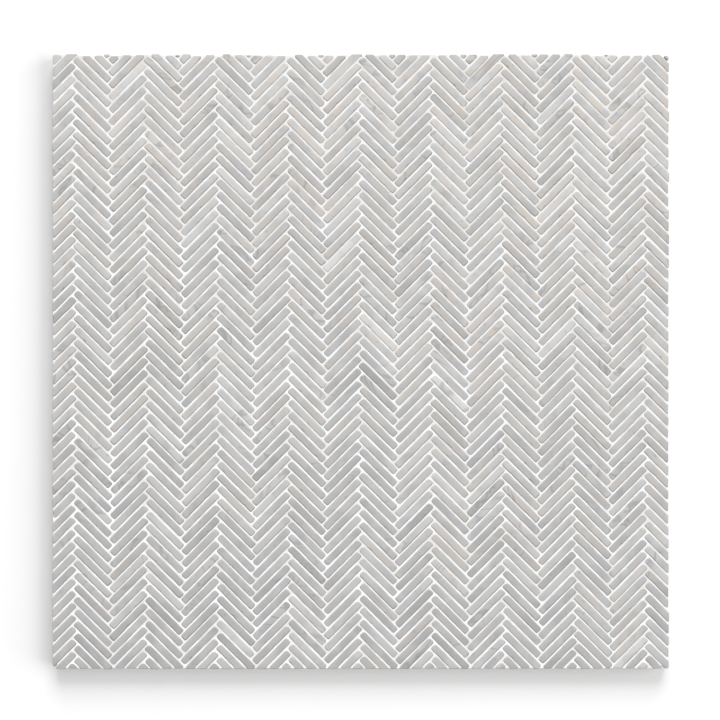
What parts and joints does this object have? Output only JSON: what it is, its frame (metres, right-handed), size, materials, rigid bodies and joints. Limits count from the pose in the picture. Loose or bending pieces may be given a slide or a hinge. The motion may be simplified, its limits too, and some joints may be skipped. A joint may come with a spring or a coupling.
{
  "type": "marble herringbone mosaic tile",
  "caption": "Square mosaic sheet of narrow marble sticks laid in herringbone and held by a net on their backs, for covering a wall or floor.",
  "frame": {"origin": "centre of the sheet's underside, where the net lies on the bed", "axes": "+X across the chevrons, +Y along the chevrons towards their points, +Z out of the mosaic's face"},
  "size_m": [0.3064, 0.3056, 0.0098],
  "materials": {
    "marble": "honed to tumbled, arrises softened",
    "white_resin": "matt, filled with stone dust",
    "glass_fibre_net": "woven glass fibre stiffened with resin"
  },
  "bodies": {
    "root": {"stick_column_01": "marble", "stick_column_02": "marble", "stick_column_03": "marble", "stick_column_04": "marble", "stick_column_05": "marble", "stick_column_06": "marble", "stick_column_07": "marble", "stick_column_08": "marble", "stick_column_09": "marble", "stick_column_10": "marble", "stick_column_11": "marble", "stick_column_12": "marble", "stick_column_13": "marble", "stick_column_14": "marble", "stick_column_15": "marble", "stick_column_16": "marble", "stick_column_17": "marble", "stick_column_18": "marble", "bonding_resin": "white_resin", "net_warp_strands": "glass_fibre_net", "net_weft_strands": "glass_fibre_net"}
  },
  "joints": []
}
